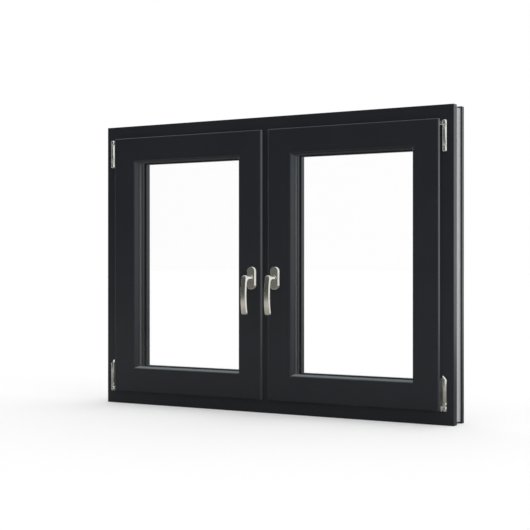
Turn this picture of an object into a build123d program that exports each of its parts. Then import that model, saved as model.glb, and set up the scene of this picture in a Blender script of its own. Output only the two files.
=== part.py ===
from build123d import *
import os

# Two-sash window of welded profiles, seen from the room.
# X runs across the window, Y = 0 is the room face of the outer frame, +Y points outdoors,
# and Z = 0 is the underside of the sill member. All sizes are in millimetres.

# Outer frame
frame_width = 1200.0
frame_height = 900.0
frame_face = 48.0
upstand_thickness = 13.0
upstand_lap = 8.0
frame_edge_round = 1.0
groove_depth = 6.0
front_flange = 24.3
back_flange = 17.2
mullion_face = 42.0

# Sashes
sash_depth = 82.0
sash_proud = 16.0
sash_lap = 8.0
hardware_gap = 12.0
sash_edge_round = 3.0
outer_leg = 18.0
lip_to_bead = 56.5
bead_width = 25.5

# Seals between sash and frame
lap_seal = 3.0
lap_seal_width = 5.5
lap_seal_inset = 1.5
stop_seal = 3.0
stop_seal_width = 5.0
stop_seal_inset = 1.5

# Glazing
pane = 4.0
cavity = 12.0
pane_count = 3
glazing_seal = 4.0
glazing_seal_width = 6.5
glazing_seal_proud = 0.5
glass_clearance = 6.0
spacer_height = 16.0
bead_slope = 5.0
bead_nose_round = 6.0

# Handles
handle_backset = 27.5
handle_height = 410.0
rose_width = 28.0
rose_length = 68.0
rose_thickness = 11.0
rose_round = 1.5
collar_radius = 9.0
collar_height = 2.5
neck_radius = 6.0
neck_clearance = 0.05
neck_end_gap = 0.3
neck_bend = 13.0
neck_bend_angle = 70.0
neck_run_out = 38.0
lever_stand = 50.0
lever_bow = 8.5
lever_tip_drop = 2.0
lever_thickness = 9.5
lever_above = 8.6
lever_below = 109.0
lever_top_radius = 7.5
lever_tip_half_width = 8.2
lever_tip_corner = 2.5
lever_round = 1.8
lever_outline_margin = 3.0

# Hinges
hinge_stand = 8.5
leaf_thickness = 5.0
leaf_end_inset = 1.5
dome_round = 3.0
top_hinge_offset = 17.3
top_barrel_radius = 7.5
top_barrel_flat = 5.7
top_barrel_back = 1.0
top_hinge_length = 89.0
top_hinge_drop = 4.0
top_cap_height = 15.0
top_foot_height = 14.0
top_foot_shift = 4.6
bottom_hinge_offset = 15.5
bottom_barrel_radius = 6.4
bottom_leaf_reach = 10.0
bottom_hinge_length = 99.0
bottom_hinge_rise = 1.0
bottom_foot_height = 12.0
bottom_leaf_slant = 10.0
bottom_boss_radius = 5.2
adjuster_offset = 5.5
adjuster_radius = 3.2

# Drainage caps on the outdoor face of the sill
drain_cap_length = 40.0
drain_cap_height = 10.0
drain_cap_thickness = 3.0
drain_cap_rise = 24.0
drain_cap_inset = 70.0

# Derived planes and sizes
sash_front = -sash_proud
sash_back = sash_front + sash_depth
lip_back = -lap_seal
upstand_face = sash_back + stop_seal
frame_depth = upstand_face + upstand_thickness
lip_width = sash_lap + hardware_gap
upstand_reach = hardware_gap + upstand_lap
glass_pack = pane_count * pane + (pane_count - 1) * cavity
bead_depth = sash_depth - outer_leg - 2 * glazing_seal - glass_pack
bead_back = sash_front + bead_depth
glass_front = bead_back + glazing_seal
glass_back = glass_front + glass_pack
sight_line = lip_to_bead + bead_width
sash_width = (frame_width - 2 * frame_face - mullion_face + 4 * sash_lap) / 2
sash_height = frame_height - 2 * frame_face + 2 * sash_lap
sash_low = frame_face - sash_lap
sash_top = sash_low + sash_height
sash_inner_edge = mullion_face / 2 - sash_lap
sash_centre = sash_inner_edge + sash_width / 2
sash_outer_edge = sash_inner_edge + sash_width
handle_x = sash_inner_edge + handle_backset
top_hinge_x = sash_outer_edge + top_hinge_offset
bottom_hinge_x = sash_outer_edge + bottom_hinge_offset


def profile(points, radii):
    """Closed cross-section in the YZ plane, from (Y, Z) corners and their radii."""
    with BuildSketch(Plane.YZ) as sketch:
        with BuildLine():
            FilletPolyline(*points, radius=radii, close=True)
        make_face()
    return sketch.sketch


def mitred_bar(section, length, reach):
    """Member along X with its ends cut at 45 degrees over the section's reach."""
    bar = extrude(section, amount=length / 2, both=True)
    half = length / 2
    with BuildSketch(Plane.XZ) as sketch:
        with BuildLine():
            Polyline((-half, 0), (half, 0), (half - reach, reach), (reach - half, reach), close=True)
        make_face()
    return bar & extrude(sketch.sketch, amount=frame_depth * 2, both=True)


def mitred_ring(section, width, height, reach):
    """The four members of a frame that stands on Z = 0, keyed by their side."""
    across = mitred_bar(section, width, reach)
    upright = mitred_bar(section, height, reach)
    return {
        "bottom": across,
        "top": Pos(0, 0, height) * Rot(0, 180, 0) * across,
        "left": Pos(-width / 2, 0, height / 2) * Rot(0, 90, 0) * upright,
        "right": Pos(width / 2, 0, height / 2) * Rot(0, -90, 0) * upright,
    }


def block(x_range, y_range, z_range):
    """Rectangular solid between the given limits."""
    size = [high - low for low, high in (x_range, y_range, z_range)]
    middle = [(low + high) / 2 for low, high in (x_range, y_range, z_range)]
    return Pos(*middle) * Box(*size)


def sash_ring(inset, thickness, y_low, y_high):
    """Rectangular ring set in from a sash's lip edge, for seals and spacers."""
    outer_x = sash_width / 2 - inset
    inner_x = outer_x - thickness
    low = sash_low + inset
    high = sash_top - inset
    outer = block((-outer_x, outer_x), (y_low, y_high), (low, high))
    hole = block((-inner_x, inner_x), (y_low, y_high), (low + thickness, high - thickness))
    return outer - hole


def frame_section():
    """L-shaped frame profile with the fixing groove in its outer edge."""
    inner = frame_face + upstand_reach
    groove_end = frame_depth - back_flange
    points = [
        (0, 0), (0, frame_face), (upstand_face, frame_face), (upstand_face, inner),
        (frame_depth, inner), (frame_depth, 0), (groove_end, 0), (groove_end, groove_depth),
        (front_flange, groove_depth), (front_flange, 0),
    ]
    radii = [frame_edge_round, 0, 0, 0, frame_edge_round, frame_edge_round, 0, 0, 0, 0]
    return profile(points, radii)


def sash_section():
    """Sash profile: lapping lip, body, glazing rebate and outdoor leg."""
    rebate_back = glass_back + glazing_seal
    points = [
        (sash_front, 0), (sash_front, lip_to_bead), (rebate_back, lip_to_bead),
        (rebate_back, sight_line), (sash_back, sight_line), (sash_back, lip_width),
        (lip_back, lip_width), (lip_back, 0),
    ]
    radii = [sash_edge_round, 0, 0, frame_edge_round, frame_edge_round, 0, 0, 0]
    return profile(points, radii)


def bead_section():
    """Glazing bead: flat front, rounded nose and a slope down to the glass."""
    points = [
        (sash_front, 0), (sash_front, bead_width - bead_slope),
        (bead_back, bead_width), (bead_back, 0),
    ]
    return profile(points, [0, bead_nose_round, 0, 0])


def mullion():
    """Central post between head and sill, with its outdoor stops for both sashes."""
    half = mullion_face / 2
    web = block((-half, half), (0, upstand_face), (frame_face, frame_height - frame_face))
    stop_half = half + upstand_reach
    stop_end = frame_face + upstand_reach
    stop = block((-stop_half, stop_half), (upstand_face, frame_depth), (stop_end, frame_height - stop_end))
    return web + stop


def panes():
    """The three panes of one sealed unit, held at their edges by the seals."""
    half = sash_width / 2 - lip_to_bead - glass_clearance
    low = sash_low + lip_to_bead + glass_clearance
    high = sash_top - lip_to_bead - glass_clearance
    sheets = []
    for number in range(pane_count):
        y_low = glass_front + number * (pane + cavity)
        sheets.append(block((-half, half), (y_low, y_low + pane), (low, high)))
    return Compound(children=sheets)


def spacers():
    """Edge spacers that fill the rim of each cavity."""
    rims = []
    for number in range(pane_count - 1):
        y_low = glass_front + pane + number * (pane + cavity)
        rims.append(sash_ring(lip_to_bead + glass_clearance, spacer_height, y_low, y_low + cavity))
    return Compound(children=rims)


def glazing_seals():
    """Seals between bead and glass, and between glass and outdoor leg."""
    inset = sight_line + glazing_seal_proud - glazing_seal_width
    inner = sash_ring(inset, glazing_seal_width, bead_back, glass_front)
    outer = sash_ring(inset, glazing_seal_width, glass_back, glass_back + glazing_seal)
    return Compound(children=[inner, outer])


def lap_seals():
    """Seal under the sash lip, against the room face of the frame."""
    return sash_ring(lap_seal_inset, lap_seal_width, lip_back, 0)


def stop_seals():
    """Seal on the frame's outdoor stop, against the back of the sash."""
    return sash_ring(lip_width + stop_seal_inset, stop_seal_width, sash_back, upstand_face)


def rose():
    """Oval handle rose with a low collar and a bore for the lever's neck."""
    with BuildSketch(Plane.XZ.offset(sash_proud)) as outline:
        SlotOverall(rose_length, rose_width, rotation=90)
    plate = extrude(outline.sketch, amount=rose_thickness)
    front_edges = plate.faces().sort_by(Axis.Y)[0].edges()
    plate = fillet(front_edges, radius=rose_round)
    collar_middle = sash_front - rose_thickness - collar_height / 2
    collar = Pos(0, collar_middle, 0) * Rot(90, 0, 0) * Cylinder(collar_radius, collar_height)
    bore_length = 2 * (rose_thickness + collar_height)
    bore = Pos(0, sash_front, 0) * Rot(90, 0, 0) * Cylinder(neck_radius + neck_clearance, bore_length)
    return plate + collar - bore


def grip_curve(depth):
    """Three points of the grip's bowed side curve, that far behind its front surface."""
    front = sash_front - lever_stand + depth
    high = lever_above + lever_outline_margin
    low = -lever_below - lever_outline_margin
    return (front, high), (front - lever_bow, (high + low) / 2), (front - lever_tip_drop, low)


def grip_slab(front_depth, back_depth):
    """Bowed slab between two depths behind the grip's front surface, longer and wider than the grip."""
    front_high, front_middle, front_low = grip_curve(front_depth)
    back_high, back_middle, back_low = grip_curve(back_depth)
    with BuildSketch(Plane.YZ) as side:
        with BuildLine():
            ThreePointArc(front_high, front_middle, front_low)
            Line(front_low, back_low)
            ThreePointArc(back_low, back_middle, back_high)
            Line(back_high, front_high)
        make_face()
    return extrude(side.sketch, amount=lever_tip_half_width * 2, both=True)


def lever_front():
    """Front outline of the grip: round at the top, wider and square at the tip."""
    corner_x = lever_tip_half_width - lever_tip_corner
    corner_z = lever_tip_corner - lever_below
    with BuildSketch(Plane.XZ) as front:
        with Locations((0, lever_above - lever_top_radius)):
            Circle(lever_top_radius)
        with Locations((-corner_x, corner_z), (corner_x, corner_z)):
            Circle(lever_tip_corner)
        make_hull()
    return front.sketch


def lever_neck():
    """Round neck that leaves the rose, bends down and runs out inside the grip."""
    start = sash_front - neck_end_gap
    bend_end = sash_front - lever_stand + lever_thickness / 2
    with BuildLine(Plane.YZ) as path:
        run = Line((start, 0), (bend_end + neck_bend, 0))
        bend = JernArc(run @ 1, run % 1, neck_bend, neck_bend_angle)
        Line(bend @ 1, bend @ 1 + (bend % 1) * neck_run_out)
    with BuildSketch(Plane((0, start, 0), z_dir=(0, -1, 0))) as section:
        Circle(neck_radius)
    neck = sweep(section.sketch, path=path.wire())
    return neck - grip_slab(-lever_stand, lever_thickness / 2)


def lever():
    """Lever pointing down: a bowed grip on a round neck that turns in the rose."""
    outline = extrude(lever_front(), amount=lever_stand * 2 + sash_proud, both=True)
    grip = grip_slab(0, lever_thickness) & outline
    long_edges = grip.edges().filter_by(lambda edge: edge.length > lever_thickness * 1.5)
    return fillet(long_edges, radius=lever_round) + lever_neck()


def upright(radius, x, z_low, z_high):
    """Vertical round bar at the height of the hinge line above the frame."""
    return Pos(x, -hinge_stand, (z_low + z_high) / 2) * Cylinder(radius, z_high - z_low)


def domed(shape):
    """Rounds the lower end of a round bar."""
    end = shape.faces().sort_by(Axis.Z)[0]
    return fillet(end.edges(), radius=dome_round)


def sash_leaf(reach, z_low, z_high):
    """Flat leaf that fixes a hinge half to the side of the sash lip."""
    y_range = (-hinge_stand - leaf_thickness / 2, -hinge_stand + leaf_thickness / 2)
    return block((sash_outer_edge, sash_outer_edge + reach), y_range, (z_low, z_high))


def top_barrel(back, z_low, z_high):
    """Length of top hinge barrel: round towards the sash, flat in front and outside."""
    front = -hinge_stand - top_barrel_radius
    flat = block((top_hinge_x, top_hinge_x + top_barrel_flat), (front, back), (z_low, z_high))
    return flat + upright(top_barrel_radius, top_hinge_x, z_low, z_high)


def top_hinge():
    """Top hinge: the barrel on the frame with its domed foot, and the cap and leaf of the sash."""
    high = sash_top - top_hinge_drop
    low = high - top_hinge_length
    split = high - top_cap_height
    foot_end = low + top_foot_height
    foot = domed(upright(top_barrel_radius, top_hinge_x - top_foot_shift, low, foot_end))
    bearing = top_barrel(0, foot_end, split) + foot
    cap = top_barrel(-top_barrel_back, split, high)
    leaf = sash_leaf(top_hinge_offset, split + leaf_end_inset, high - leaf_end_inset)
    return bearing, cap + leaf


def bottom_bearing(low, split):
    """Frame half of the bottom hinge: a boss under the barrel and an adjuster beside it."""
    boss = domed(upright(bottom_boss_radius, bottom_hinge_x, low, split))
    adjuster_x = sash_outer_edge + adjuster_offset
    adjuster = domed(upright(adjuster_radius, adjuster_x, low, split))
    foot = block((adjuster_x, bottom_hinge_x), (-hinge_stand, 0), (low + dome_round, split))
    return foot + boss + adjuster


def bottom_leaf(low, high):
    """Sash half of the bottom hinge, with the barrel's upper end cut on a slant."""
    barrel = upright(bottom_barrel_radius, bottom_hinge_x, low, high)
    with BuildSketch(Plane.XZ) as wedge:
        with BuildLine():
            left = bottom_hinge_x - bottom_barrel_radius
            right = bottom_hinge_x + bottom_barrel_radius
            Polyline((left, high), (right, high), (right, high - bottom_leaf_slant), close=True)
        make_face()
    barrel = barrel - extrude(wedge.sketch, amount=hinge_stand * 2, both=True)
    return barrel + sash_leaf(bottom_leaf_reach, low, high)


def bottom_hinge():
    """Bottom hinge: the bearing that carries the sash, and the sash's leaf with its barrel."""
    low = sash_low - bottom_hinge_rise
    split = low + bottom_foot_height
    return bottom_bearing(low, split), bottom_leaf(split, low + bottom_hinge_length)


def drainage_caps():
    """Small covers over the drainage slots, two below each sash."""
    caps = []
    for side in (-1, 1):
        for shift in (-1, 1):
            middle = side * sash_centre + shift * (sash_width / 2 - drain_cap_inset)
            x_range = (middle - drain_cap_length / 2, middle + drain_cap_length / 2)
            z_range = (drain_cap_rise - drain_cap_height / 2, drain_cap_rise + drain_cap_height / 2)
            caps.append(block(x_range, (frame_depth, frame_depth + drain_cap_thickness), z_range))
    return Compound(children=caps)


def frame_nodes():
    """The outer frame's four members, the mullion and the drainage caps."""
    ring = mitred_ring(frame_section(), frame_width, frame_height, frame_face + upstand_reach)
    return {
        "frame_sill": ring["bottom"],
        "frame_head": ring["top"],
        "frame_jamb_left": ring["left"],
        "frame_jamb_right": ring["right"],
        "mullion": mullion(),
        "drainage_caps": drainage_caps(),
    }


def sash_nodes(side, sign):
    """One sash with its beads, glazing, seals, handle and hinges."""
    handle_side = "right" if side == "left" else "left"
    places = {"top": "top", "bottom": "bottom", side: "hinge_side", handle_side: "handle_side"}
    nodes = {}
    members = mitred_ring(sash_section(), sash_width, sash_height, sight_line)
    bead_width_out = sash_width - 2 * lip_to_bead
    bead_height_out = sash_height - 2 * lip_to_bead
    beads = mitred_ring(bead_section(), bead_width_out, bead_height_out, bead_width)
    centre = sign * sash_centre
    for key, place in places.items():
        nodes[f"{side}_sash_{place}"] = Pos(centre, 0, sash_low) * members[key]
        nodes[f"{side}_bead_{place}"] = Pos(centre, 0, sash_low + lip_to_bead) * beads[key]
    nodes[f"{side}_glass"] = Pos(centre, 0, 0) * panes()
    nodes[f"{side}_spacers"] = Pos(centre, 0, 0) * spacers()
    nodes[f"{side}_glazing_seals"] = Pos(centre, 0, 0) * glazing_seals()
    nodes[f"{side}_lap_seal"] = Pos(centre, 0, 0) * lap_seals()
    nodes[f"{side}_stop_seal"] = Pos(centre, 0, 0) * stop_seals()
    nodes[f"{side}_handle_rose"] = Pos(sign * handle_x, 0, handle_height) * rose()
    nodes[f"{side}_handle_lever"] = Pos(sign * handle_x, 0, handle_height) * lever()
    for place, halves in {"top": top_hinge(), "bottom": bottom_hinge()}.items():
        for half, shape in zip(("bearing", "leaf"), halves):
            nodes[f"{side}_{place}_hinge_{half}"] = shape if sign > 0 else mirror(shape, about=Plane.YZ)
    return nodes


def all_nodes():
    """Every named piece of the window."""
    return {**frame_nodes(), **sash_nodes("left", -1), **sash_nodes("right", 1)}


os.makedirs("parts", exist_ok=True)
for name, shape in all_nodes().items():
    export_step(shape, f"parts/{name}.step")
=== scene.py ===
import math

import bmesh
import bpy
from mathutils import Matrix, Vector


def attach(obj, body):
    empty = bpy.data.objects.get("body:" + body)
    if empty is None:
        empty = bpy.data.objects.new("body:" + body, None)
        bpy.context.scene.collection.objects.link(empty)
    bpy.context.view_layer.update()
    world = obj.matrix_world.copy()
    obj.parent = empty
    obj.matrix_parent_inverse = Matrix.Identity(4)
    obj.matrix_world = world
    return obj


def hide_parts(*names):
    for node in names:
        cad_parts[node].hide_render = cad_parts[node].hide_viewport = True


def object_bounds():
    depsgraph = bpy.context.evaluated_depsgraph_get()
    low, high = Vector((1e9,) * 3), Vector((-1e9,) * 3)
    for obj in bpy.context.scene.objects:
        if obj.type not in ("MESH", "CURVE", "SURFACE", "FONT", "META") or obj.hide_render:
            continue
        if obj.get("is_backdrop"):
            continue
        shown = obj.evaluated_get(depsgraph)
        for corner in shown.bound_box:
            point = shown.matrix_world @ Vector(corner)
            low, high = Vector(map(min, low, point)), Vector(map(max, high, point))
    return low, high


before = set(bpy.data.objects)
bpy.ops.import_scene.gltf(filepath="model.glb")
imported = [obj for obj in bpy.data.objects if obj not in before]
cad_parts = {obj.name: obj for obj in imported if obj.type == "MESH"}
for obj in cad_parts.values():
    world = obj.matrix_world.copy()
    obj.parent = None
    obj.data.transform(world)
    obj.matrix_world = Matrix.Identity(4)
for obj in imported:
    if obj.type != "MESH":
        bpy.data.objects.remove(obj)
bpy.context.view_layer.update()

# Outer frame.
# Four lengths of extruded pvc, welded at mitred corners. A dark foil is rolled onto the faces
# that show, and the fixing channel round the outside keeps the pale core of the profile.
FRAME_HALF_WIDTH = 0.600
FRAME_HEIGHT = 0.900
CHANNEL_FRONT = 0.0243
CHANNEL_BACK = 0.0648
CHANNEL_DEPTH = 0.006
FOIL_END = 0.004
CRISP = 0.0001
LINE_CORE = 0.0003
SEAM_HALF_WIDTH = 0.0007
FOIL_RELIEF = 0.00006


class Value:
    """The output of a shader node, on which Python's operators add Math nodes."""

    def __init__(self, finish, socket):
        self.finish = finish
        self.socket = socket

    def maths(self, operation, *values):
        return self.finish.node("ShaderNodeMath", {"operation": operation}, dict(enumerate(values)))

    def __add__(self, other):
        return self.maths("ADD", self, other)

    def __sub__(self, other):
        return self.maths("SUBTRACT", self, other)

    def __rsub__(self, other):
        return self.maths("SUBTRACT", other, self)

    def __mul__(self, other):
        return self.maths("MULTIPLY", self, other)

    def __abs__(self):
        return self.maths("ABSOLUTE", self)

    def least(self, other):
        return self.maths("MINIMUM", self, other)

    def most(self, other):
        return self.maths("MAXIMUM", self, other)

    def ramp(self, start, end, low=0.0, high=1.0):
        """Runs smoothly from low, where the value is at start, to high, where it is at end."""
        settings = {"interpolation_type": "SMOOTHSTEP"}
        return self.finish.node("ShaderNodeMapRange", settings, {0: self, 1: start, 2: end, 3: low, 4: high})

    __radd__ = __add__
    __rmul__ = __mul__


class Finish:
    """A node tree under construction: a surface finish, or the world."""

    def __init__(self, owner):
        owner.use_nodes = True
        self.owner = owner
        self.tree = owner.node_tree
        self.tree.nodes.clear()

    def node(self, kind, settings=None, inputs=None, output=0):
        """Adds a node with its settings first, then the values or links of its sockets."""
        made = self.tree.nodes.new(kind)
        for key, setting in (settings or {}).items():
            setattr(made, key, setting)
        for key, value in (inputs or {}).items():
            if isinstance(value, Value):
                self.tree.links.new(value.socket, made.inputs[key])
            else:
                made.inputs[key].default_value = value
        return Value(self, made.outputs[output]) if made.outputs else made

    def place(self, scale=(1, 1, 1)):
        """The point on the piece in metres, stretched by scale."""
        point = self.node("ShaderNodeTexCoord", output="Object")
        return self.node("ShaderNodeVectorMath", {"operation": "MULTIPLY"}, {0: point, 1: scale})

    def axes(self):
        """The point's X, Y and Z as three values."""
        point = self.node("ShaderNodeTexCoord", output="Object")
        return [self.node("ShaderNodeSeparateXYZ", inputs={0: point}, output=axis) for axis in range(3)]

    def noise(self, place, scale, detail=3.0, roughness=0.55):
        """Cloudy noise between 0 and 1."""
        inputs = {"Vector": place, "Scale": scale, "Detail": detail, "Roughness": roughness}
        return self.node("ShaderNodeTexNoise", inputs=inputs)

    def blend(self, factor, first, second):
        """Colour that goes from first, at factor 0, to second."""
        inputs = {0: factor, 6: colour_or_link(first), 7: colour_or_link(second)}
        return self.node("ShaderNodeMix", {"data_type": "RGBA"}, inputs, output=2)

    def surface(self, constants, colour, roughness, height, depth, strength=1.0):
        """Ends the tree in a Principled surface whose bump is height times depth in metres."""
        inputs = dict(constants)
        inputs["Base Color"] = colour_or_link(colour)
        inputs["Roughness"] = roughness
        bump = {"Strength": strength, "Distance": depth, "Height": height}
        inputs["Normal"] = self.node("ShaderNodeBump", inputs=bump)
        shader = self.node("ShaderNodeBsdfPrincipled", inputs=inputs)
        self.node("ShaderNodeOutputMaterial", inputs={"Surface": shader})
        return self.owner


def colour_or_link(value):
    """A colour given as red, green and blue gets its alpha; a link stays as it is."""
    return value if isinstance(value, Value) else (*value, 1.0)


def new_finish(name):
    return Finish(bpy.data.materials.new(name))


def dress(material, *nodes):
    """Gives CAD nodes their finish. Their gloss shows the studio and not the neighbouring parts."""
    for name in nodes:
        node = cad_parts[name]
        node.visible_glossy = False
        for entry in node.material_slots:
            entry.material = material


FOIL_DARK = (0.0182, 0.0192, 0.0242)
FOIL_LIGHT = (0.0232, 0.0244, 0.0300)
CORE_GREY = (0.46, 0.46, 0.45)
# Lighter tone of the welded mitre and joint lines; on the sashes it is also the painted highlight along the bead
# line.
SEAM_TONE_AND_HIGHLIGHT = (0.030, 0.032, 0.036)
FOIL_GLOSS = {"IOR": 1.5, "Specular Tint": (0.90, 0.99, 1.0, 1.0)}


def foil(finish, grain_scale):
    """Colour, roughness and relief of the embossed foil, its grain drawn out along the member."""
    grain = finish.noise(finish.place(grain_scale), 1.0, 4.0, 0.6)
    cloud = finish.noise(finish.place(), 5.0, 2.0)
    fleck = finish.noise(finish.place(), 2600.0, 2.0)
    tone = cloud.ramp(0.3, 0.7) * 0.45 + grain.ramp(0.3, 0.7) * 0.35 + fleck * 0.2
    colour = finish.blend(tone, FOIL_DARK, FOIL_LIGHT)
    roughness = 0.30 + cloud * 0.06 + grain * 0.05
    return colour, roughness, grain * 0.7 + fleck * 0.3


GRAIN_ALONG = {"X": (90.0, 1500.0, 1500.0), "Z": (1500.0, 1500.0, 90.0)}


def frame_finish(name, direction):
    """Foil with the welded mitre line at the corners and bare core in the channel."""
    finish = new_finish(name)
    colour, roughness, relief = foil(finish, GRAIN_ALONG[direction])
    x, y, z = finish.axes()
    from_side = FRAME_HALF_WIDTH - abs(x)
    from_end = z.least(FRAME_HEIGHT - z)
    seam = abs(from_side - from_end).ramp(SEAM_HALF_WIDTH, LINE_CORE)
    edge = from_side.least(from_end)
    past_foil = edge.ramp(FOIL_END - CRISP, FOIL_END)
    in_channel = edge.ramp(CHANNEL_DEPTH + 5 * CRISP, CHANNEL_DEPTH + 3 * CRISP)
    behind_front = y.ramp(CHANNEL_FRONT - 2 * CRISP, CHANNEL_FRONT - CRISP)
    before_back = y.ramp(CHANNEL_BACK + 2 * CRISP, CHANNEL_BACK + CRISP)
    core = past_foil * in_channel * behind_front * before_back
    colour = finish.blend(seam * 0.5, colour, SEAM_TONE_AND_HIGHLIGHT)
    colour = finish.blend(core, colour, CORE_GREY)
    return finish.surface(FOIL_GLOSS, colour, roughness + core * 0.2, relief - seam, FOIL_RELIEF)


dress(frame_finish("frame_foil_across", "X"), "frame_sill", "frame_head")
dress(frame_finish("frame_foil_upright", "Z"), "frame_jamb_left", "frame_jamb_right")

# Mullion.
# The post between the two sashes, cut square and screwed to head and sill through their walls,
# in the same foil as the frame, with a fine joint line at each end.
MULLION_LOW = 0.048
MULLION_HIGH = 0.852
JOINT_HALF_WIDTH = 0.0008

mullion_finish = new_finish("mullion_foil")
colour, roughness, relief = foil(mullion_finish, GRAIN_ALONG["Z"])
height = mullion_finish.axes()[2]
joint = abs(height - MULLION_LOW).least(abs(height - MULLION_HIGH)).ramp(JOINT_HALF_WIDTH, LINE_CORE)
colour = mullion_finish.blend(joint * 0.5, colour, SEAM_TONE_AND_HIGHLIGHT)
dress(mullion_finish.surface(FOIL_GLOSS, colour, roughness, relief - joint, FOIL_RELIEF), "mullion")

# Sashes and beads.
# Each sash is four welded lengths with a rounded lip that laps the frame. Four glazing beads,
# mitred but not welded, are pressed into its inner groove and leave a fine joint line all round.
SASH_CENTRE = 0.2865
SASH_HALF_WIDTH = 0.2735
SASH_LOW = 0.040
SASH_HIGH = 0.860
BEAD_JOINT = 0.0565
BEAD_FRONT = -0.012
SASH_FRONT = -0.016


def sash_finish(name, direction):
    """Foil with the mitre line of a sash corner, and the line between sash and bead painted lighter as a
    highlight of its rounded edges.
    """
    finish = new_finish(name)
    colour, roughness, relief = foil(finish, GRAIN_ALONG[direction])
    x, y, z = finish.axes()
    from_side = SASH_HALF_WIDTH - abs(abs(x) - SASH_CENTRE)
    from_end = (z - SASH_LOW).least(SASH_HIGH - z)
    seam = abs(from_side - from_end).ramp(JOINT_HALF_WIDTH, LINE_CORE)
    # Painted highlight: the line between sash and bead is lightened for the light on its rounded edges.
    bead_line_highlight = abs(from_side.least(from_end) - BEAD_JOINT).ramp(JOINT_HALF_WIDTH, LINE_CORE)
    lines_and_highlight = seam.most(bead_line_highlight * y.ramp(0.0, BEAD_FRONT))
    colour = finish.blend(lines_and_highlight * 0.6, colour, SEAM_TONE_AND_HIGHLIGHT)
    return finish.surface(FOIL_GLOSS, colour, roughness, relief - lines_and_highlight, FOIL_RELIEF)


sash_across = sash_finish("sash_foil_across", "X")
sash_upright = sash_finish("sash_foil_upright", "Z")
for side in ("left", "right"):
    for member in ("sash", "bead"):
        dress(sash_across, f"{side}_{member}_top", f"{side}_{member}_bottom")
        dress(sash_upright, f"{side}_{member}_hinge_side", f"{side}_{member}_handle_side")

# Seals.
# Extruded rubber lengths: one round each pane edge on both sides, one under the sash lip and one
# on the frame's outdoor stop. They are pressed into grooves and glued at the corners.
RUBBER_DARK = (0.008, 0.008, 0.009)
RUBBER_WORN = (0.017, 0.017, 0.018)

rubber = new_finish("seal_rubber_matt")
bloom = rubber.noise(rubber.place(), 60.0, 4.0)
pores = rubber.noise(rubber.place(), 3200.0, 2.0)
colour = rubber.blend(bloom.ramp(0.35, 0.75), RUBBER_DARK, RUBBER_WORN)
rubber_material = rubber.surface({"IOR": 1.5}, colour, 0.55 + bloom * 0.2, pores, 0.00004)
for side in ("left", "right"):
    dress(rubber_material, f"{side}_glazing_seals", f"{side}_lap_seal", f"{side}_stop_seal")

# Sealed glass units.
# Three clear float panes with two warm-edge spacers between them. The spacer is a grey channel
# of composite, perforated on its inner face so that the drying beads behind can breathe. The rear
# spacer is painted near black, as painted shade of the deeper cavity.
SPACER_GREY = (0.085, 0.087, 0.085)
SPACER_DARK = (0.045, 0.047, 0.046)
SPACER_PITCH = 0.004
REAR_SPACER_PAINTED_SHADE = (0.008, 0.008, 0.009)
HOLE_RADIUS = 0.0007
GLASS_FRONT = 0.008
GLASS_BACK = 0.044
FRONT_CAVITY_BACK = 0.026
GLASS_GREEN = (0.86, 0.95, 0.92, 1.0)

glass = new_finish("clear_float_glass")
depth = glass.axes()[1]
room_face = depth.ramp(GLASS_FRONT + 0.002, GLASS_FRONT + 0.001)
outdoor_face = depth.ramp(GLASS_BACK - 0.002, GLASS_BACK - 0.001)
outer_faces = room_face.most(outdoor_face)
facing = glass.node("ShaderNodeFresnel", inputs={"IOR": 1.5})
haze = glass.noise(glass.place(), 9.0, 2.0)
pane_inputs = {
    "Base Color": GLASS_GREEN,
    "Metallic": 1.0,
    "Roughness": 0.01 + haze * 0.01,
    "Alpha": facing * (0.015 + outer_faces * 0.14),
}
pane_shader = glass.node("ShaderNodeBsdfPrincipled", inputs=pane_inputs)
glass.node("ShaderNodeOutputMaterial", inputs={"Surface": pane_shader})

spacer = new_finish("warm_edge_spacer")
x, y, z = spacer.axes()
along = spacer.node("ShaderNodeMath", {"operation": "PINGPONG"}, {0: x + z, 1: SPACER_PITCH / 2})
hole = along.ramp(HOLE_RADIUS, LINE_CORE)
grain = spacer.noise(spacer.place(), 1800.0, 3.0)
colour = spacer.blend(hole * 0.35 + grain * 0.4, SPACER_GREY, SPACER_DARK)
# Painted shade: the spacer behind the front cavity is coloured near black, for the shade deeper in the unit.
colour = spacer.blend(y.ramp(FRONT_CAVITY_BACK - 0.001, FRONT_CAVITY_BACK), colour, REAR_SPACER_PAINTED_SHADE)
spacer_material = spacer.surface({"IOR": 1.5}, colour, 0.42 + grain * 0.15, grain * 0.3 - hole, 0.0001)
for side in ("left", "right"):
    dress(glass.owner, f"{side}_glass")
    dress(spacer_material, f"{side}_spacers")

# Handle roses.
# A pressed cover with round ends clips over the handle's base plate, which two screws hold to the
# sash. The collar in its middle guides the lever, and a shadow line runs round behind its rim.
LEVER_X = 0.0405
LEVER_AXIS = 0.410
LEVER_PITCH = 2 * LEVER_X
ROSE_HALF_WIDTH = 0.0129
ROSE_HALF_HEIGHT = 0.0340
ROSE_FRONT = -0.0270
ROSE_SEAM = -0.0178
ROSE_SEAM_WIDTH = 0.0006
ROSE_RIM = 0.0016
ROUND_END = 0.98
GROOVE_DEPTH = 0.0004
COLLAR_RADIUS = 0.0088
COLLAR_FRONT = -0.0298
COLLAR_SUNK = 0.001
METAL_LIGHT = (0.85, 0.80, 0.71)
METAL_DARK = (0.74, 0.70, 0.61)


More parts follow.
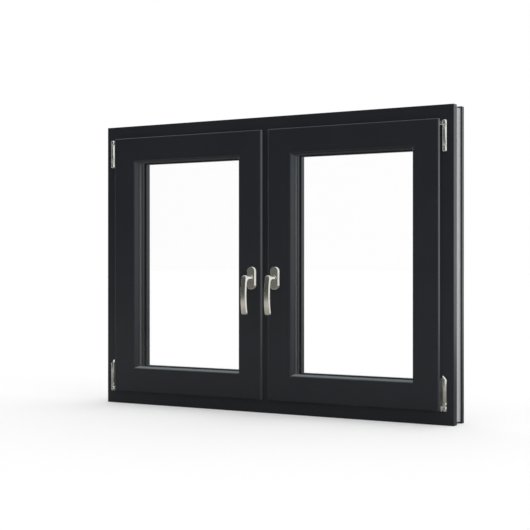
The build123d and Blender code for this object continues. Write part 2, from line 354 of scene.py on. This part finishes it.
def satin_metal(name, light, dark, roughness):
    """Fine satin metal with faint clouding and small handling marks."""
    finish = new_finish(name)
    cloud = finish.noise(finish.place(), 45.0, 3.0)
    satin = finish.noise(finish.place((1.0, 1.0, 0.08)), 5200.0, 2.0)
    marks = finish.noise(finish.place(), 420.0, 4.0, 0.7)
    colour = finish.blend(cloud.ramp(0.3, 0.75) * 0.7 + marks.ramp(0.5, 0.8) * 0.3, light, dark)
    rough = roughness + cloud * 0.05 + marks.ramp(0.55, 0.75) * 0.06
    return finish.surface({"Metallic": 1.0}, colour, rough, satin * 0.7 + marks * 0.3, 0.00001, 0.5)


handle_metal = satin_metal("handle_satin_metal", METAL_LIGHT, METAL_DARK, 0.20)


def start(name, add, **place):
    """Adds a primitive with nothing else selected, and puts its place in its mesh."""
    bpy.ops.object.select_all(action="DESELECT")
    add(**place)
    piece = bpy.context.object
    piece.name = piece.data.name = name
    bpy.ops.object.transform_apply(location=True, rotation=True, scale=True)
    bpy.ops.object.mode_set(mode="EDIT")
    return piece


def start_block(name, low, high):
    """Adds a block between two corners."""
    middle = [(a + b) / 2 for a, b in zip(low, high)]
    reach = [b - a for a, b in zip(low, high)]
    return start(name, bpy.ops.mesh.primitive_cube_add, size=1.0, location=middle, scale=reach)


def start_disc(name, radius, x, y, z, thickness, sides=48):
    """Adds a round disc that faces the room."""
    return start(name, bpy.ops.mesh.primitive_cylinder_add, vertices=sides, radius=radius, depth=thickness,
                 location=(x, y, z), rotation=(math.pi / 2, 0, 0))


def pick(mode, test):
    """Selects the vertices, edges or faces all of whose points pass the test."""
    bpy.ops.mesh.select_mode(type=mode)
    bpy.ops.mesh.select_all(action="DESELECT")
    mesh = bpy.context.object.data
    shape = bmesh.from_edit_mesh(mesh)
    kind = {"VERT": shape.verts, "EDGE": shape.edges, "FACE": shape.faces}[mode]
    for element in kind:
        points = [element.co] if mode == "VERT" else [corner.co for corner in element.verts]
        if all(test(point) for point in points):
            element.select_set(True)
    shape.select_flush_mode()
    bmesh.update_edit_mesh(mesh)


def near(value, target, reach=0.00005):
    return abs(value - target) < reach


def between(value, low, high, reach=0.0001):
    return low - reach < value < high + reach


def cut_across(axis, *places):
    """Scores the shape all round at places along axis 0, 1 or 2."""
    for place in places:
        bpy.ops.mesh.select_all(action="SELECT")
        point, normal = [0, 0, 0], [0, 0, 0]
        point[axis], normal[axis] = place, 1
        bpy.ops.mesh.bisect(plane_co=point, plane_no=normal)


def groove(axis, low, width):
    """Sinks a narrow band all round the shape, from a place along an axis."""
    cut_across(axis, low, low + width)
    pick("FACE", lambda p: between(p[axis], low, low + width))
    bpy.ops.mesh.extrude_region_shrink_fatten(TRANSFORM_OT_shrink_fatten={"value": -GROOVE_DEPTH})


def sink(test, rim, move):
    """Leaves a rim round the faces that pass the test and moves what is inside it."""
    pick("FACE", test)
    bpy.ops.mesh.inset(thickness=rim)
    bpy.ops.transform.translate(value=move)


def finish_shape(piece, edge_round, segments=2, sharp=30.0):
    """Breaks the edges, smooths the faces between them and leaves edit mode."""
    bpy.ops.mesh.select_all(action="SELECT")
    bpy.ops.mesh.remove_doubles(threshold=0.00001)
    bpy.ops.mesh.normals_make_consistent(inside=False)
    bpy.ops.object.mode_set(mode="OBJECT")
    rounding = piece.modifiers.new("edge_round", "BEVEL")
    rounding.width = edge_round
    rounding.segments = segments
    rounding.limit_method = "ANGLE"
    rounding.angle_limit = math.radians(sharp)
    bpy.ops.object.modifier_apply(modifier=rounding.name)
    bpy.ops.object.shade_smooth_by_angle(angle=math.radians(sharp))


def merge(piece, *others):
    """Joins finished shapes into one piece."""
    bpy.ops.object.select_all(action="DESELECT")
    for other in others:
        other.select_set(True)
    piece.select_set(True)
    bpy.context.view_layer.objects.active = piece
    bpy.ops.object.join()
    return piece


def settle(piece, body, slot, material, *nodes):
    """Gives a new piece its body and finish, and hides the CAD nodes that it stands for; the slot is not used.
    """
    piece.data.materials.clear()
    piece.data.materials.append(material)
    piece.visible_glossy = False
    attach(piece, body)
    if nodes:
        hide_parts(*nodes)


def copy_of(piece, name, change):
    """Copies a piece with its own mesh, moved or mirrored by a matrix."""
    twin = piece.copy()
    twin.data = piece.data.copy()
    twin.name = twin.data.name = name
    bpy.context.scene.collection.objects.link(twin)
    twin.data.transform(change)
    if change.determinant() < 0:
        twin.data.flip_normals()
    return twin


rose_left, rose_right = -LEVER_X - ROSE_HALF_WIDTH, -LEVER_X + ROSE_HALF_WIDTH
rose_low, rose_high = LEVER_AXIS - ROSE_HALF_HEIGHT, LEVER_AXIS + ROSE_HALF_HEIGHT
left_rose = start_block("left_rose_cover", (rose_left, ROSE_FRONT, rose_low),
                        (rose_right, SASH_FRONT, rose_high))
for end_z in (rose_low, rose_high):
    for end_x in (rose_left, rose_right):
        pick("EDGE", lambda p: near(p.z, end_z) and near(p.x, end_x))
        bpy.ops.mesh.bevel(offset=ROSE_HALF_WIDTH * ROUND_END, segments=14, affect="EDGES")
groove(1, ROSE_SEAM - ROSE_SEAM_WIDTH, ROSE_SEAM_WIDTH)
pick("FACE", lambda p: near(p.y, ROSE_FRONT))
bpy.ops.mesh.inset(thickness=ROSE_RIM)
finish_shape(left_rose, 0.0008, 3, 25.0)
collar_middle = (ROSE_FRONT + COLLAR_FRONT + COLLAR_SUNK) / 2
collar_depth = ROSE_FRONT - COLLAR_FRONT + COLLAR_SUNK
collar = start_disc("rose_collar", COLLAR_RADIUS, -LEVER_X, collar_middle, LEVER_AXIS, collar_depth)
finish_shape(collar, 0.0006, 3)
merge(left_rose, collar)
right_rose = copy_of(left_rose, "right_rose_cover", Matrix.Translation((LEVER_PITCH, 0, 0)))
settle(left_rose, "window", "handle_metal", handle_metal, "left_handle_rose")
settle(right_rose, "window", "handle_metal", handle_metal, "right_handle_rose")

# Levers.
# Each lever is one die casting: a flat-sided neck bends down from the rose into a bowed grip that
# stands clear of the sash by a hand's thickness. Its edges are broken and polished with the rest.
GRIP_LENGTH = 0.109
GRIP_FRONT = -0.066
GRIP_THICKNESS = 0.0095
GRIP_TOP = LEVER_AXIS + 0.0086
GRIP_TIP = LEVER_AXIS - GRIP_LENGTH
GRIP_HALF_WIDTH = 0.0075
GRIP_TIP_HALF_WIDTH = 0.0082
GRIP_TIP_CORNER = 0.0026
GRIP_BOW = 0.0072
GRIP_LEAN = 0.002
GRIP_STEPS = 14
NECK_HALF_WIDTH = 0.0060
NECK_TOP = LEVER_AXIS + 0.0046
NECK_UNDER = LEVER_AXIS - 0.0040
NECK_RUN = 0.013
NECK_BEND = 0.020
NECK_TURN = 90.0
NECK_STEPS = 14
NECK_END = (0, -0.0004, -0.0080)
NECK_TAPER = (0.9, 0.6, 1)
NECK_TAPER_FRONT = -0.0680


def grip_line(z):
    """How far the grip's front stands towards the room at a height."""
    along = (GRIP_TOP - z) / (GRIP_TOP - GRIP_TIP)
    return -GRIP_BOW * (1.0 - (2.0 * along - 1.0) ** 2) - GRIP_LEAN * along


neck_start = COLLAR_FRONT - NECK_RUN
neck = start_block("lever_neck", (-LEVER_X - NECK_HALF_WIDTH, neck_start, NECK_UNDER),
                   (-LEVER_X + NECK_HALF_WIDTH, COLLAR_FRONT, NECK_TOP))
pick("FACE", lambda p: near(p.y, neck_start))
bpy.ops.mesh.spin(steps=NECK_STEPS, angle=math.radians(NECK_TURN), axis=(-1, 0, 0), dupli=False,
                  center=(-LEVER_X, neck_start, NECK_UNDER - NECK_BEND))
bpy.ops.mesh.extrude_region_move(TRANSFORM_OT_translate={"value": NECK_END})
bpy.ops.transform.resize(value=NECK_TAPER, center_override=(-LEVER_X, NECK_TAPER_FRONT, LEVER_AXIS))
finish_shape(neck, 0.0010)

left_lever = start_block("left_lever_casting", (-LEVER_X - GRIP_HALF_WIDTH, GRIP_FRONT, GRIP_TIP),
                         (-LEVER_X + GRIP_HALF_WIDTH, GRIP_FRONT + GRIP_THICKNESS, GRIP_TOP))
for height, corner, facets in ((GRIP_TOP, GRIP_HALF_WIDTH * ROUND_END, 9), (GRIP_TIP, GRIP_TIP_CORNER, 4)):
    for edge_x in (-LEVER_X - GRIP_HALF_WIDTH, -LEVER_X + GRIP_HALF_WIDTH):
        pick("EDGE", lambda p: near(p.z, height) and near(p.x, edge_x))
        bpy.ops.mesh.bevel(offset=corner, segments=facets, affect="EDGES")
straight = GRIP_TOP - GRIP_HALF_WIDTH - GRIP_TIP
cut_across(2, *(GRIP_TIP + straight * step / GRIP_STEPS for step in range(1, GRIP_STEPS)))
shape = bmesh.from_edit_mesh(left_lever.data)
levels = sorted({round(vertex.co.z, 5) for vertex in shape.verts})
for level in levels:
    pick("VERT", lambda p: near(p.z, level))
    wider = 1.0 + (GRIP_TIP_HALF_WIDTH / GRIP_HALF_WIDTH - 1.0) * max(0.0, (LEVER_AXIS - level) / GRIP_LENGTH)
    bpy.ops.transform.resize(value=(wider, 1, 1), center_override=(-LEVER_X, 0, level))
    bpy.ops.transform.translate(value=(0, grip_line(level), 0))
finish_shape(left_lever, 0.0012, 3, 40.0)

merge(left_lever, neck)
right_lever = copy_of(left_lever, "right_lever_casting", Matrix.Translation((LEVER_PITCH, 0, 0)))
settle(left_lever, "left_lever", "handle_metal", handle_metal, "left_handle_lever")
settle(right_lever, "right_lever", "handle_metal", handle_metal, "right_handle_lever")

# Lever rings.
# A dark polymer ring snaps into the rose's collar, guides the neck and keeps metal off metal.
RING_RADIUS = 0.0077
RING_THICKNESS = 0.0014
RING_RIM = 0.0009
RING_DISH = 0.0004
RING_DARK = (0.030, 0.029, 0.027)
RING_WORN = (0.050, 0.048, 0.044)

ring_dark = new_finish("polymer_ring_dark")
scuff = ring_dark.noise(ring_dark.place(), 900.0, 3.0)
colour = ring_dark.blend(scuff, RING_DARK, RING_WORN)
ring_material = ring_dark.surface({"IOR": 1.5}, colour, 0.35 + scuff * 0.15, scuff, 0.00002)
left_ring = start_disc("left_lever_ring", RING_RADIUS, -LEVER_X, COLLAR_FRONT + 0.0001, LEVER_AXIS,
                       RING_THICKNESS)
sink(lambda p: p.y < COLLAR_FRONT, RING_RIM, (0, RING_DISH, 0))
finish_shape(left_ring, 0.0002)
right_ring = copy_of(left_ring, "right_lever_ring", Matrix.Translation((LEVER_PITCH, 0, 0)))
for ring in (left_ring, right_ring):
    settle(ring, "window", "handle_metal", ring_material)

# Top hinges.
# The stay's bearing is screwed to the frame: a round pin barrel on a thin base, with a domed foot.
# The sash's arm reaches over it and ends in a cap round the head of the pin.
STEEL_LIGHT = (0.86, 0.82, 0.74)
STEEL_DARK = (0.73, 0.70, 0.63)
PIN_X = 0.5751
PIN_Y = -0.0055
PIN_RADIUS = 0.0053
SLEEVE_RADIUS = PIN_RADIUS + 0.0002
GROOVE_WIDTH = 0.0008
TOP_HINGE_LOW = 0.767
TOP_HINGE_SPLIT = 0.841
TOP_HINGE_HIGH = 0.856
TOP_BARREL_LOW = TOP_HINGE_LOW + 0.010
TOP_FOOT_RADIUS = 0.0054
TOP_FOOT_HIGH = TOP_HINGE_LOW + 0.0108
BASE_FRONT = -0.0024
BASE_INNER = 0.5717
BASE_OUTER = 0.5792
BASE_LOW = TOP_HINGE_LOW + 0.0015
BASE_HIGH = TOP_HINGE_SPLIT + 0.0125
CAP_LOW = TOP_HINGE_SPLIT + 0.0004
CAP_HIGH = TOP_HINGE_HIGH - 0.0012
SASH_EDGE = 0.5600
ARM_HALF = 0.0018
ARM_LOW = TOP_HINGE_SPLIT + 0.0012
ARM_HIGH = TOP_HINGE_HIGH - 0.0040
ARM_MIDDLE = TOP_HINGE_HIGH - 0.0085

hinge_steel = satin_metal("hinge_satin_steel", STEEL_LIGHT, STEEL_DARK, 0.22)


def start_bar(name, radius, x, y, low, high, sides=40):
    """Adds an upright round bar between two heights."""
    place = (x, y, (low + high) / 2)
    return start(name, bpy.ops.mesh.primitive_cylinder_add, vertices=sides, radius=radius, depth=high - low,
                 location=place)


def domed_foot(name, radius, x, low, high, dome, facets, rim, hollow):
    """Makes an upright bar with a domed lower end and a small hollow under it."""
    foot = start_bar(name, radius, x, PIN_Y, low, high)
    pick("FACE", lambda p: near(p.z, low))
    bpy.ops.mesh.bevel(offset=dome, segments=facets, affect="EDGES")
    sink(lambda p: near(p.z, low), rim, (0, 0, hollow))
    finish_shape(foot, 0.0003)
    return foot


barrel = start_bar("hinge_pin_barrel", PIN_RADIUS, PIN_X, PIN_Y, TOP_BARREL_LOW, TOP_HINGE_SPLIT - 0.0004)
groove(2, TOP_HINGE_LOW + 0.016, GROOVE_WIDTH)
groove(2, TOP_HINGE_SPLIT - 0.006, GROOVE_WIDTH)
finish_shape(barrel, 0.0004)
web = start_block("hinge_web", (PIN_X - 0.0012, PIN_Y, TOP_HINGE_LOW + 0.014),
                  (PIN_X + 0.0022, BASE_FRONT + 0.001, TOP_HINGE_SPLIT - 0.002))
finish_shape(web, 0.0004)
base = start_block("hinge_base", (BASE_INNER, BASE_FRONT, BASE_LOW), (BASE_OUTER, 0.0, BASE_HIGH))
pick("FACE", lambda p: near(p.z, BASE_LOW))
bpy.ops.transform.resize(value=(0.72, 1, 1), center_override=(BASE_OUTER, 0, 0))
sink(lambda p: near(p.x, BASE_OUTER), 0.0006, (-0.0003, 0, 0))
finish_shape(base, 0.0004)
foot = domed_foot("hinge_foot", TOP_FOOT_RADIUS, PIN_X, TOP_HINGE_LOW, TOP_FOOT_HIGH, 0.0036, 6, 0.0006, 0.0012)
bearing = merge(base, barrel, web, foot)

cap = start_bar("hinge_cap", SLEEVE_RADIUS, PIN_X, PIN_Y, CAP_LOW, CAP_HIGH)
pick("FACE", lambda p: near(p.z, CAP_HIGH))
bpy.ops.mesh.inset(thickness=0.0016)
bpy.ops.mesh.extrude_region_move(TRANSFORM_OT_translate={"value": (0, 0, TOP_HINGE_HIGH - CAP_HIGH)})
finish_shape(cap, 0.0005)
arm = start_block("hinge_arm", (SASH_EDGE, PIN_Y - ARM_HALF, ARM_LOW), (PIN_X, PIN_Y + ARM_HALF, ARM_HIGH))
pick("FACE", lambda p: near(p.x, SASH_EDGE))
bpy.ops.mesh.extrude_region_move(TRANSFORM_OT_translate={"value": (-0.0001, 0, 0)})
bpy.ops.transform.resize(value=(1, 1.5, 1.1), center_override=(SASH_EDGE, PIN_Y, ARM_MIDDLE))
finish_shape(arm, 0.0006)
head = merge(cap, arm)

BOTH_SIDES = (("right", Matrix.Identity(4)), ("left", Matrix.Scale(-1.0, 4, (1, 0, 0))))
for side, change in BOTH_SIDES:
    settle(copy_of(bearing, f"{side}_top_bearing_casting", change), "window", "hinge_metal", hinge_steel,
           f"{side}_top_hinge_bearing")
    settle(copy_of(head, f"{side}_top_pin_cap", change), "window", "hinge_metal", hinge_steel,
           f"{side}_top_hinge_leaf")
for pattern in (bearing, head):
    bpy.data.objects.remove(pattern, do_unlink=True)

# Bottom hinges.
# The corner bearing is screwed to the frame and carries the sash on a pin. The sash's leaf wraps
# the barrel, whose top is cut on a slant, and two small feet hold the height adjusting screws.
BOTTOM_LOW = 0.0395
BOTTOM_SPLIT = 0.0530
BOTTOM_HIGH = 0.1370
SLANT_START = 0.0050
SLANT_TIP = 0.0040
LEAF_FRONT = -0.0084
LEAF_BACK = -0.0052
LEAF_LOW = BOTTOM_SPLIT + 0.0010
LEAF_HIGH = 0.1320
PANEL_LOW = BOTTOM_SPLIT + 0.024
PANEL_HIGH = BOTTOM_SPLIT + 0.060
SCREW_RADIUS = 0.0026
SCREW_X = SASH_EDGE + 0.0042
SCREW_HEIGHTS = (BOTTOM_SPLIT + 0.014, BOTTOM_SPLIT + 0.070)
BRACKET_INNER = 0.5720
BRACKET_OUTER = 0.5792
ADJUSTER_X = 0.5655
SADDLE_FRONT = PIN_Y - 0.0020
SADDLE_LOW = BOTTOM_LOW + 0.0045
SADDLE_OUTER = 0.5780
CAST_LIGHT = (0.30, 0.29, 0.265)
CAST_DARK = (0.14, 0.134, 0.12)

cast = new_finish("hinge_cast_plate")
pits = cast.noise(cast.place(), 700.0, 4.0, 0.75)
worn = cast.noise(cast.place(), 60.0, 2.0)
colour = cast.blend(pits.ramp(0.40, 0.62) * 0.7 + worn * 0.3, CAST_LIGHT, CAST_DARK)
cast_material = cast.surface({"Metallic": 1.0}, colour, 0.30 + pits * 0.16, pits, 0.00012, 0.8)

sleeve = start_bar("hinge_sleeve", SLEEVE_RADIUS, PIN_X, PIN_Y, BOTTOM_SPLIT + 0.0006, BOTTOM_HIGH + SLANT_TIP)
bpy.ops.mesh.bisect(plane_co=(PIN_X + 0.0010, 0, BOTTOM_HIGH - SLANT_START), plane_no=(1.0, 0, 0.80),
                    use_fill=True, clear_outer=True)
groove(2, BOTTOM_SPLIT + 0.0110, GROOVE_WIDTH)
finish_shape(sleeve, 0.0005)

plate = start_block("hinge_plate", (SASH_EDGE, LEAF_FRONT, LEAF_LOW), (PIN_X, LEAF_BACK, LEAF_HIGH))
cut_across(2, PANEL_LOW, PANEL_HIGH)
sink(lambda p: near(p.y, LEAF_FRONT) and between(p.z, PANEL_LOW, PANEL_HIGH, 0.001), 0.0014, (0, 0.0007, 0))
finish_shape(plate, 0.0005)
screws = []
for height in SCREW_HEIGHTS:
    screw = start_disc("hinge_screw", SCREW_RADIUS, SCREW_X, LEAF_FRONT, height, 0.0016, 28)
    pick("FACE", lambda p: p.y < LEAF_FRONT)
    bpy.ops.mesh.inset(thickness=0.0012)
    bpy.ops.mesh.extrude_region_move(TRANSFORM_OT_translate={"value": (0, 0.0008, 0)})
    finish_shape(screw, 0.0002)
    screws.append(screw)
lower_leaf = merge(plate, *screws)

bracket = start_block("hinge_bracket", (BRACKET_INNER, BASE_FRONT, BOTTOM_LOW + 0.0020),
                      (BRACKET_OUTER, 0.0, BOTTOM_HIGH - 0.0095))
sink(lambda p: near(p.x, BRACKET_OUTER), 0.0006, (-0.0003, 0, 0))
finish_shape(bracket, 0.0004)
feet = []
for name, radius, foot_x in (("pin_foot", 0.0052, PIN_X), ("adjuster_foot", 0.0032, ADJUSTER_X)):
    feet.append(domed_foot(name, radius, foot_x, BOTTOM_LOW, BOTTOM_SPLIT, radius * 0.55, 5, 0.0003, 0.0010))
saddle = start_block("hinge_saddle", (ADJUSTER_X, SADDLE_FRONT, SADDLE_LOW), (SADDLE_OUTER, 0.0, BOTTOM_SPLIT))
pick("FACE", lambda p: near(p.z, SADDLE_LOW))
bpy.ops.mesh.inset(thickness=0.0012)
finish_shape(saddle, 0.0006)
lower_bearing = merge(bracket, saddle, *feet)

for side, change in BOTH_SIDES:
    settle(copy_of(sleeve, f"{side}_bottom_sleeve", change), "window", "hinge_metal", hinge_steel)
    settle(copy_of(lower_leaf, f"{side}_bottom_leaf_plate", change), "window", "hinge_metal", cast_material,
           f"{side}_bottom_hinge_leaf")
    settle(copy_of(lower_bearing, f"{side}_bottom_bearing_casting", change), "window", "hinge_metal",
           hinge_steel, f"{side}_bottom_hinge_bearing")
for pattern in (sleeve, lower_leaf, lower_bearing):
    bpy.data.objects.remove(pattern, do_unlink=True)

# Drainage caps.
# Small moulded covers that clip over the drainage slots on the outdoor face of the sill, each with
# four sloping louvres that let the water out and keep the wind from blowing in.
CAP_HALF_LENGTH = 0.020
CAP_HALF_HEIGHT = 0.005
CAP_RISE = 0.024
CAP_BACK = 0.082
CAP_FRONT = 0.085
CAP_PLACES = (-0.490, -0.083, 0.083, 0.490)
LOUVRE_INNER = 0.001
LOUVRE_OUTER = 0.017
LOUVRE_NEAR = 0.0008
LOUVRE_FAR = 0.0030
LOUVRE_SLOPE = (0, -0.0016, 0.0006)

moulded = new_finish("moulded_cap")
spark = moulded.noise(moulded.place(), 1400.0, 3.0)
colour = moulded.blend(spark, (0.018, 0.019, 0.022), (0.026, 0.027, 0.030))
cap_material = moulded.surface({"IOR": 1.5}, colour, 0.42 + spark * 0.1, spark, 0.00005)

first_cap = start_block("drainage_cap", (-CAP_HALF_LENGTH, CAP_BACK, CAP_RISE - CAP_HALF_HEIGHT),
                        (CAP_HALF_LENGTH, CAP_FRONT, CAP_RISE + CAP_HALF_HEIGHT))
lower_row = (CAP_RISE - LOUVRE_FAR, CAP_RISE - LOUVRE_NEAR)
upper_row = (CAP_RISE + LOUVRE_NEAR, CAP_RISE + LOUVRE_FAR)
cut_across(2, *lower_row, *upper_row)
cut_across(0, -LOUVRE_OUTER, -LOUVRE_INNER, LOUVRE_INNER, LOUVRE_OUTER)
for low, high in (lower_row, upper_row):
    for begin, end in ((-LOUVRE_OUTER, -LOUVRE_INNER), (LOUVRE_INNER, LOUVRE_OUTER)):
        pick("FACE", lambda p: near(p.y, CAP_FRONT) and between(p.z, low, high) and between(p.x, begin, end))
        bpy.ops.mesh.extrude_region_move(TRANSFORM_OT_translate={"value": LOUVRE_SLOPE})
finish_shape(first_cap, 0.0004)
for number, place in enumerate(CAP_PLACES, 1):
    settle(copy_of(first_cap, f"drainage_cap_{number}", Matrix.Translation((place, 0, 0))), "window",
           "cap_plastic", cap_material, "drainage_caps")
bpy.data.objects.remove(first_cap, do_unlink=True)

# Studio.
# A plain pale floor to the camera, which is painted darker round the window, as shade, for reflections
# and bounced light only, a white surround that also shows in metal and glass, soft lamps from above
# and from the right, and a level camera to the right of the window, at the handles' height.
FLOOR_SEEN = (0.86, 0.86, 0.86)
FLOOR_WASH = 0.18
WASH_STRENGTH = 1.3
# Painted shade: for reflections and bounced light the floor takes these colours instead of its pale one, darker
# near the window and changing with distance on the room side and behind it.
PAINTED_ROOM_NEAR = (0.30, 0.30, 0.30)
PAINTED_ROOM_MIDDLE = (0.52, 0.52, 0.52)
PAINTED_ROOM_FAR = (0.10, 0.10, 0.10)
PAINTED_BACK_NEAR = (0.14, 0.14, 0.14)
PAINTED_BACK_FAR = (0.90, 0.90, 0.90)
COOL_WHITE = (0.90, 0.99, 1.03)
CAMERA_PLACE = (1.77186, -3.12478, 0.44977)
CAMERA_TURN = 29.63
CAMERA_LENS = 80.3
CAMERA_SENSOR = 36.0

bpy.ops.object.select_all(action="DESELECT")
bpy.ops.mesh.primitive_plane_add(size=160.0, location=(0, 0, 0))
floor = bpy.context.object
floor.name = "studio_floor"
floor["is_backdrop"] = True
floor_finish = new_finish("studio_floor_white")
by_camera = floor_finish.node("ShaderNodeLightPath", output="Is Camera Ray")
wash = floor_finish.node("ShaderNodeEmission", inputs={"Color": (1.0, 1.0, 1.0, 1.0), "Strength": WASH_STRENGTH})
pale = floor_finish.node("ShaderNodeBsdfDiffuse", inputs={"Color": (*FLOOR_SEEN, 1.0)})
back = floor_finish.axes()[1]
far = floor_finish.node("ShaderNodeVectorMath", {"operation": "LENGTH"}, {0: floor_finish.place()}, output=1)
# Painted shade of the floor in rings round the window, seen only in reflections and bounced light.
painted_room_shade = floor_finish.blend(far.ramp(0.8, 1.4), PAINTED_ROOM_NEAR, PAINTED_ROOM_MIDDLE)
painted_room_shade = floor_finish.blend(far.ramp(2.5, 5.0), painted_room_shade, PAINTED_ROOM_FAR)
painted_back_shade = floor_finish.blend(far.ramp(2.0, 5.0), PAINTED_BACK_NEAR, PAINTED_BACK_FAR)
painted_bounce_shade = floor_finish.blend(back.ramp(-0.1, 0.2), painted_room_shade, painted_back_shade)
grey = floor_finish.node("ShaderNodeBsdfDiffuse", inputs={"Color": painted_bounce_shade})
seen = floor_finish.node("ShaderNodeMixShader", inputs={0: FLOOR_WASH, 1: pale, 2: wash})
both = floor_finish.node("ShaderNodeMixShader", inputs={0: by_camera, 1: grey, 2: seen})
floor_finish.node("ShaderNodeOutputMaterial", inputs={"Surface": both})
floor.data.materials.append(floor_finish.owner)

world = bpy.data.worlds.new("studio_white")
bpy.context.scene.world = world
sky = Finish(world)
direction = sky.node("ShaderNodeTexCoord", output="Generated")
east, north, up = [sky.node("ShaderNodeSeparateXYZ", inputs={0: direction}, output=axis) for axis in range(3)]
room_side = (north * -0.90 + east * -0.44).ramp(0.05, 0.55) * up.ramp(0.75, 0.45)
camera_ray = sky.node("ShaderNodeLightPath", output="Is Camera Ray")
glossy_ray = sky.node("ShaderNodeLightPath", output="Is Glossy Ray")
passing_ray = sky.node("ShaderNodeLightPath", output="Is Transmission Ray")
background = camera_ray.most(passing_ray)
ceiling = up.ramp(0.72, 0.92)
gloss = glossy_ray * (1.0 - room_side * 0.92) * (1.0 - ceiling * 0.50)
light = 0.84 - room_side * 0.40
level = background.most(gloss).most(light * (1.0 - glossy_ray))
tone = sky.blend(glossy_ray, (1.0, 1.0, 1.0), COOL_WHITE)
lit = sky.node("ShaderNodeBackground", inputs={"Color": tone, "Strength": level})
sky.node("ShaderNodeOutputWorld", inputs={"Surface": lit})


def soft_sun(name, strength, spread, azimuth, elevation):
    """Distant soft light from an azimuth, turned from the room side to the right, and an elevation."""
    data = bpy.data.lights.new(name, "SUN")
    data.energy = strength
    data.angle = math.radians(spread)
    lamp = bpy.data.objects.new(name, data)
    bpy.context.scene.collection.objects.link(lamp)
    turn, rise = math.radians(azimuth), math.radians(elevation)
    towards = Vector((math.sin(turn) * math.cos(rise), -math.cos(turn) * math.cos(rise), math.sin(rise)))
    lamp.rotation_euler = towards.to_track_quat("Z", "Y").to_euler()
    lamp.visible_glossy = False


soft_sun("light_above", 0.8, 80.0, 165.0, 62.0)
soft_sun("light_right", 1.2, 60.0, 78.0, 16.0)

camera_data = bpy.data.cameras.new("studio_camera")
camera_data.lens = CAMERA_LENS
camera_data.sensor_width = CAMERA_SENSOR
camera_data.clip_end = 200.0
camera = bpy.data.objects.new("studio_camera", camera_data)
camera.location = CAMERA_PLACE
camera.rotation_euler = (math.radians(90.0), 0.0, math.radians(CAMERA_TURN))
bpy.context.scene.collection.objects.link(camera)
bpy.context.scene.camera = camera
bpy.context.scene.view_settings.view_transform = "Standard"

low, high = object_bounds()
